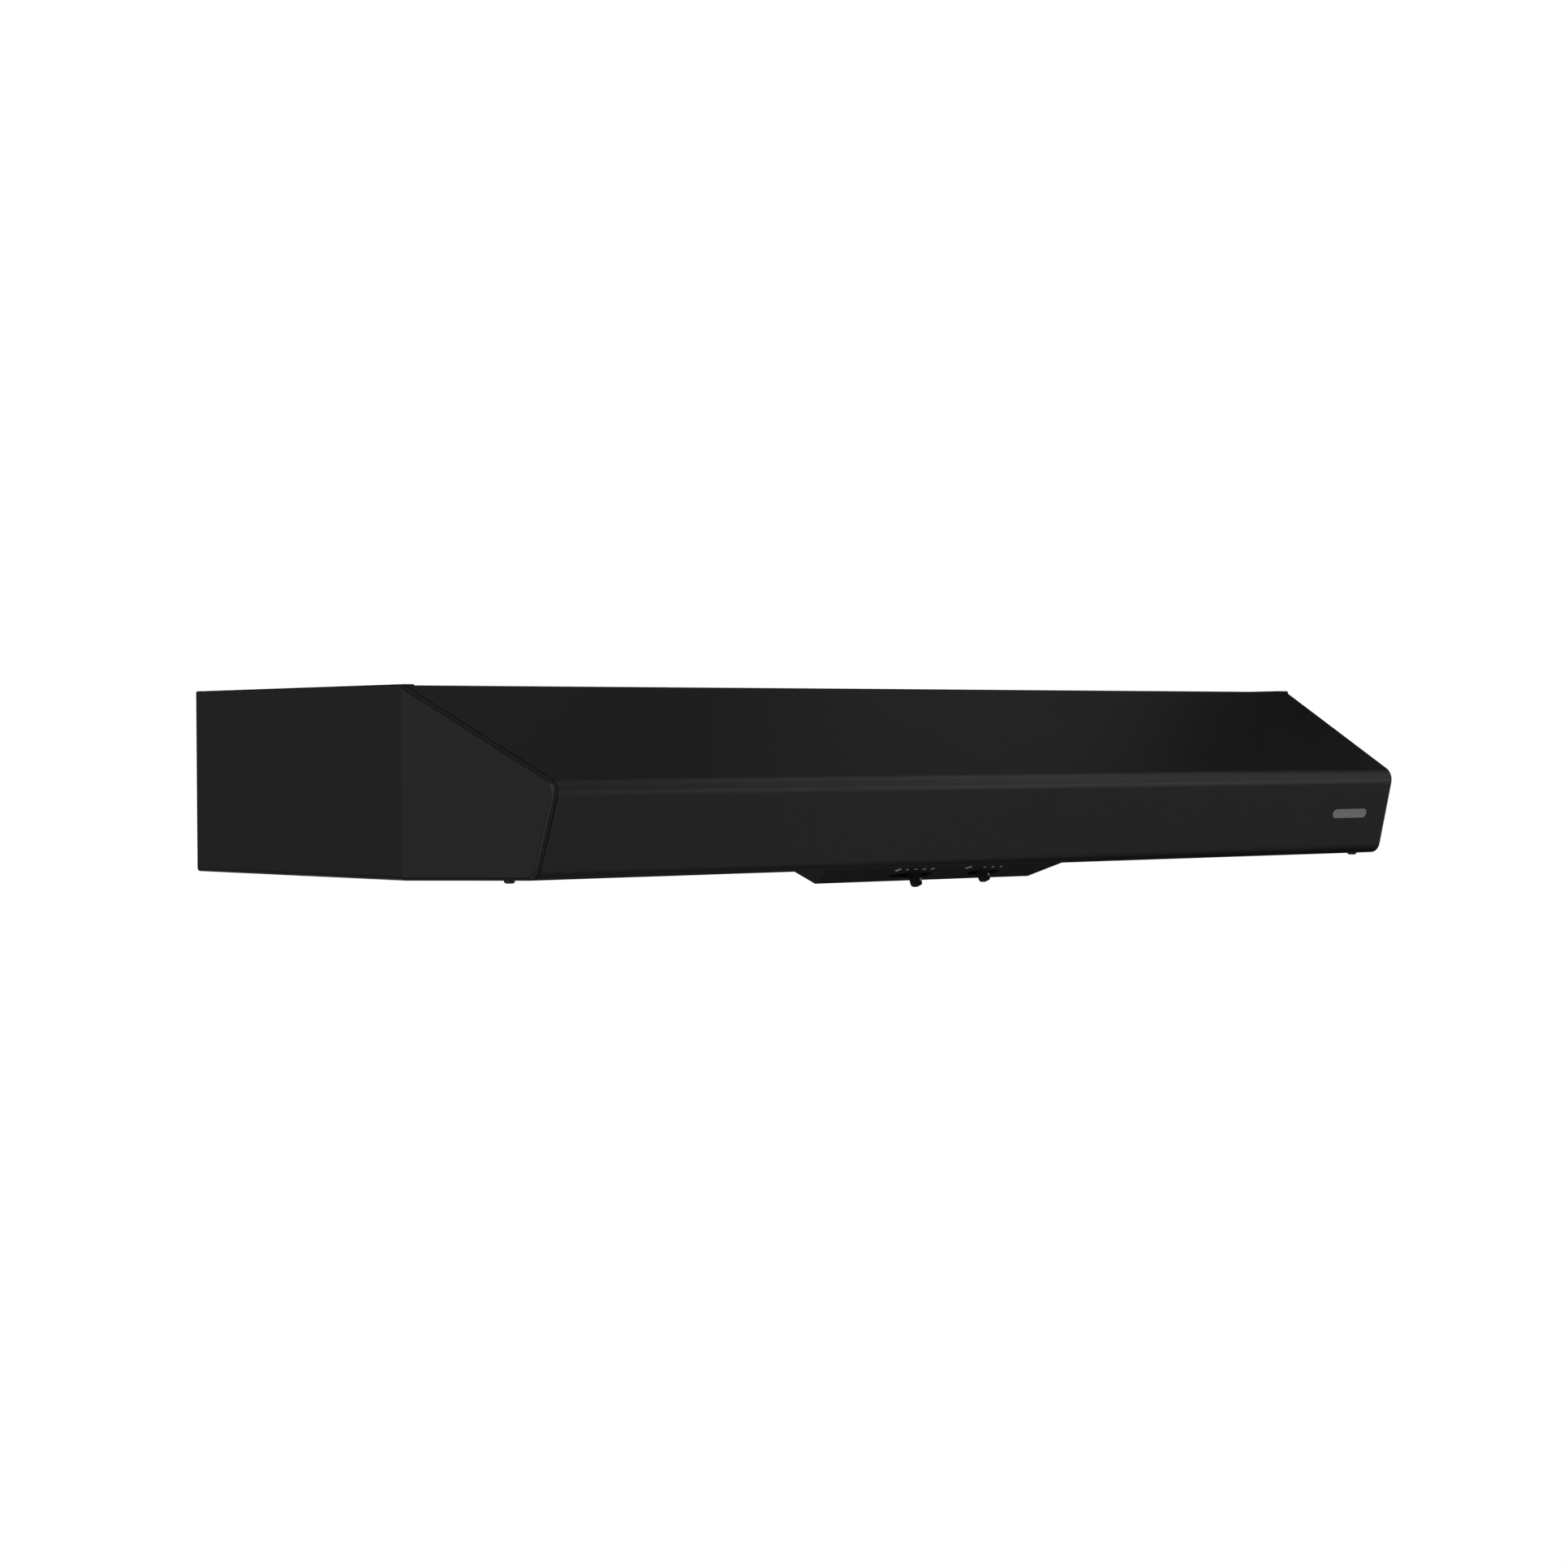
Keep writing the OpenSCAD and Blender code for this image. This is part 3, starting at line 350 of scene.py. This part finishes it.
def knob(name, x0, x1, w0, w1):
    """Black slider knob with a pale rectangle on its raised pad."""
    n = Net(name)
    a = math.radians(21.3)
    p0 = at(0, -335.6, -11.3)

    def along(d):
        s = n.t.nodes.new("ShaderNodeVectorMath")
        s.operation = "SUBTRACT"
        n.link(n.obj, s.inputs[0])
        s.inputs[1].default_value = p0
        k = n.t.nodes.new("ShaderNodeVectorMath")
        k.operation = "DOT_PRODUCT"
        n.link(s.outputs[0], k.inputs[0])
        k.inputs[1].default_value = d
        return n.math("MULTIPLY", k.outputs["Value"], 1000.0)

    x, v, w = along((1, 0, 0)), along((0, -math.cos(a), math.sin(a))), along((0, -math.sin(a), -math.cos(a)))
    m = n.math("MULTIPLY", n.math("GREATER_THAN", x, x0), n.math("LESS_THAN", x, x1))
    m = n.math("MULTIPLY", m, n.math("MULTIPLY", n.math("GREATER_THAN", w, w0), n.math("LESS_THAN", w, w1)))
    m = n.math("MULTIPLY", m, n.math("GREATER_THAN", v, 14.4 + 2.2))
    g = n.noise(2200, 2, 0.5)
    c = n.mix(n.ramp(n.noise(90, 2, 0.5), 0.3, 0.7), grey(0.0075), grey(0.0095))
    c = n.mix(m, c, grey(0.6))
    return n.done(c, n.ramp(g, 0.3, 0.7, 0.4, 0.5), n.bump(g, 0.12, 0.00006), 0, 0.35)


def lens(name, cx, cy):
    """Frosted lamp glass with concentric ribs and a fine sand blast."""
    n = Net(name)
    s = n.t.nodes.new("ShaderNodeVectorMath")
    s.operation = "SUBTRACT"
    n.link(n.obj, s.inputs[0])
    s.inputs[1].default_value = at(cx, cy, 14)
    ln = n.t.nodes.new("ShaderNodeVectorMath")
    ln.operation = "LENGTH"
    n.link(s.outputs[0], ln.inputs[0])
    ring = n.math("SINE", n.math("MULTIPLY", ln.outputs["Value"], 2 * math.pi / 0.0024))
    sand = n.noise(2400, 2, 0.6)
    nrm = n.bump(ring, 0.5, 0.0004)
    nrm = n.bump(sand, 0.25, 0.0001, nrm)
    c = n.mix(n.ramp(sand, 0.3, 0.7), (0.86, 0.88, 0.9), (0.95, 0.96, 0.97))
    return n.done(c, n.ramp(sand, 0.3, 0.7, 0.28, 0.45), nrm, 0, 0.5, Transmission_Weight=0.75, IOR=1.5)


def bulb_glass(name):
    n = Net(name)
    facet = n.voronoi(330, "F1")
    c = n.mix(n.ramp(facet, 0, 0.6), (0.92, 0.9, 0.84), (0.7, 0.69, 0.66))
    return n.done(c, n.ramp(facet, 0, 0.6, 0.08, 0.2), n.bump(facet, 0.6, 0.0006), 0.55, 0.5)


def winding(name):
    """Copper turns at the ends, a laminated stack in the middle."""
    n = Net(name)
    sep = n.t.nodes.new("ShaderNodeSeparateXYZ")
    n.link(n.obj, sep.inputs[0])
    ax = n.math("ABSOLUTE", sep.outputs["X"])
    mid = n.math("LESS_THAN", ax, 0.016)
    turns = n.wave(260, "DIAGONAL", 3.0)
    lam = n.wave(700, "X", 0.2)
    c = n.mix(turns, (0.28, 0.09, 0.03), (0.62, 0.25, 0.09))
    c = n.mix(mid, c, n.mix(lam, grey(0.12), grey(0.28)))
    h = n.math("ADD", n.math("MULTIPLY", turns, 0.7), n.math("MULTIPLY", lam, 0.3))
    return n.done(c, n.ramp(turns, 0, 1, 0.25, 0.4), n.bump(h, 0.5, 0.0004), 0.6, 0.5)


def ink(name, v):
    n = Net(name)
    g = n.noise(1500, 3, 0.6)
    c = n.mix(n.ramp(g, 0.3, 0.7), grey(v * 0.85), grey(v * 1.1))
    return n.done(c, n.ramp(g, 0.3, 0.7, 0.5, 0.6), n.bump(g, 0.1, 0.00003), 0, 0.3)


def label_can(name):
    """Capacitor can: pale moulded plastic with a cloudy tone and a fine grain."""
    n = Net(name)
    g = n.noise(300, 3, 0.5)
    c = n.mix(n.ramp(n.noise(20, 3, 0.5), 0.35, 0.65), (0.6, 0.6, 0.56), (0.72, 0.72, 0.68))
    return n.done(c, n.ramp(g, 0.3, 0.7, 0.3, 0.42), n.bump(g, 0.1, 0.0002), 0, 0.5)


BLACK = 0.0105
paint = powder_coat("satin_black_powder", BLACK)
# front paint with painted shade on its cut ends at the side seams
paint_front_gap_shaded = powder_coat("satin_black_powder_front_gap_shaded", BLACK, painted_gap_shade=True)
paint_in = powder_coat("satin_black_powder_inside", BLACK * 1.1, 0.42, 0.3)
screw_black = powder_coat("black_screw_finish", 0.014, 0.38, 0.5, 0.08)
galv = galvanised("galvanised_spangle")
M = {
    "black_paint": paint, "black_screw": screw_black,
    "black_plastic": plastic("control_black_abs", grey(0.0062), 0.46, 0.26),
    "mark_ink": ink("grey_ink", 0.62),
    "switch_plastic": plastic("switch_nylon", grey(0.05, 0.02), 0.5),
    "galvanised": galv,
    "zinc_screw": metal("zinc_plate", (0.55, 0.56, 0.58), 0.28, (1, 1, 1), 0.06, 1.0, 500),
    "filter_alu": metal("filter_frame_aluminium", (0.62, 0.63, 0.65), 0.3, (0.04, 1, 1), 0.1),
    "mesh_alu": metal("expanded_mesh_aluminium", (0.6, 0.61, 0.63), 0.32, (1, 1, 1), 0.1, 1.0, 1400),
    "spring_steel": metal("spring_steel", (0.5, 0.5, 0.52), 0.25, (0.05, 1, 1), 0.07),
    "damper_alu": metal("damper_aluminium", (0.6, 0.61, 0.62), 0.34, (0.04, 1, 1), 0.1),
    "wheel_plastic": plastic("wheel_nylon", grey(0.03), 0.45),
    "motor_paint": powder_coat("motor_enamel", 0.03, 0.35, 0.5, 0.2),
    "winding": winding("stack_and_windings"),
    "rotor_steel": metal("rotor_steel", (0.3, 0.3, 0.31), 0.35, (1, 0.05, 0.05), 0.1),
    "shaft_steel": metal("ground_steel", (0.6, 0.6, 0.62), 0.18, (1, 0.04, 0.04), 0.05),
    "bush_bronze": metal("sintered_bronze", (0.5, 0.32, 0.14), 0.4, (1, 1, 1), 0.2, 1.0, 1800),
    "cap_body": label_can("capacitor_can"),
    "green_screw": plastic("green_screw_finish", (0.03, 0.16, 0.05), 0.35, 0.5),
    "wire_black": rubber("black_sheath", 0.012), "wire_grey": rubber("grey_sheath", 0.16),
    "wire_white": rubber("white_sheath", 0.6),
    "clip_nylon": plastic("natural_nylon", (0.62, 0.61, 0.56), 0.42),
    "lamp_can": metal("spun_aluminium", (0.62, 0.62, 0.64), 0.28, (1, 1, 0.05), 0.1),
    "bezel_plastic": plastic("bezel_black", grey(0.0085), 0.4, 0.4),
    "bulb_glass": bulb_glass("reflector_bulb"),
    "badge": metal("plain_badge", (0.3, 0.3, 0.302), 0.42, (0.03, 1, 1), 0.05, 0.25, 1200),
}
FC, LC = -25.7 + 4.3, 50.0
special = {
    "fan_slider_knob": knob("fan_knob_black", FC + 2.0, FC + 5.8, 3.7, 5.9),
    "light_slider_knob": knob("light_knob_black", LC + 2.0, LC + 5.8, 1.7, 3.9),
    "left_lamp_lens": lens("left_lens_frosted", -300, -352),
    "right_lamp_lens": lens("right_lens_frosted", 300, -352),
}
slot_of = {s["node"]: s["material_slot"] for s in frame["record"]["subparts"]}
for name, o in nodes.items():
    mat = special.get(name) or M.get(slot_of[name])
    # the canopy gets the powder coat with painted shade on its cut ends
    if name == "canopy_panel":
        mat = paint_front_gap_shaded
    if name in ("underside_liner", "underside_rim", "top_panel", "back_panel", "rear_knockout_plate"):
        mat = paint_in
    if not o.material_slots:
        o.data.materials.append(mat)
    for s in o.material_slots:
        s.material = mat

# ---------------------------------------------------------------- filter media: expanded aluminium mesh
def expanded_mesh(name, x0, x1, y0, y1, z, mat, cell=(5.2, 3.1), wire=0.42, lift=0.55, phase=0.0):
    """Strands that zigzag between bonds, slightly tilted as in slit and stretched sheet. Millimetres in, one object out."""
    cx, cy = cell
    rows = int((y1 - y0) / cy)
    cols = int((x1 - x0) / (cx / 2))
    verts, faces = [], []
    sx = (x1 - x0) / cols
    sy = (y1 - y0) / rows
    for r in range(rows):
        base = y0 + (r + 0.5) * sy
        flip = 1 if r % 2 == 0 else -1
        start = len(verts)
        for c in range(cols + 1):
            x = x0 + c * sx
            side = flip * (1 if (c + int(phase)) % 2 == 0 else -1)
            y = base + side * sy * 0.47
            h = lift * 0.5 * side * flip
            w = wire / 2
            for dy, dz in ((-w, -w * 1.3 + 0.1), (w, -w * 0.7 + 0.1), (w, w * 1.3), (-w, w * 0.7)):
                verts.append(at(x, y + dy, z + h + dz))
            if c:
                a = start + (c - 1) * 4
                b = a + 4
                for k in range(4):
                    faces.append((a + k, a + (k + 1) % 4, b + (k + 1) % 4, b + k))
        faces.append((start + 3, start + 2, start + 1, start))
        e = len(verts) - 4
        faces.append((e, e + 1, e + 2, e + 3))
    me = bpy.data.meshes.new(name)
    me.from_pydata([tuple(v) for v in verts], [], faces)
    me.validate()
    me.materials.append(mat)
    o = bpy.data.objects.new(name, me)
    scene.collection.objects.link(o)
    return o


for side, s in (("left", -1), ("right", 1)):
    lo, hi = sorted((s * 15.0, s * 328.6))
    outer = expanded_mesh(side + "_filter_weave", lo, hi, -286.8, -41.2, 13.9, M["mesh_alu"])
    inner = expanded_mesh(side + "_filter_weave_inner", lo, hi, -286.8, -41.2, 16.4, M["mesh_alu"], (6.8, 4.1), 0.5, 0.8, 1)
    top = expanded_mesh(side + "_filter_weave_top", lo, hi, -286.8, -41.2, 19.9, M["mesh_alu"], (6.8, 4.1), 0.5, 0.6, 0)
    for o in (outer, inner, top):
        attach(o, side + "_filter")
    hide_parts(side + "_filter_mesh")

# ---------------------------------------------------------------- smooth shading on curved CAD faces
for name, o in nodes.items():
    if name.endswith("_filter_mesh"):
        continue
    me = o.data
    me.polygons.foreach_set("use_smooth", [True] * len(me.polygons))
    me.set_sharp_from_angle(angle=math.radians(28))
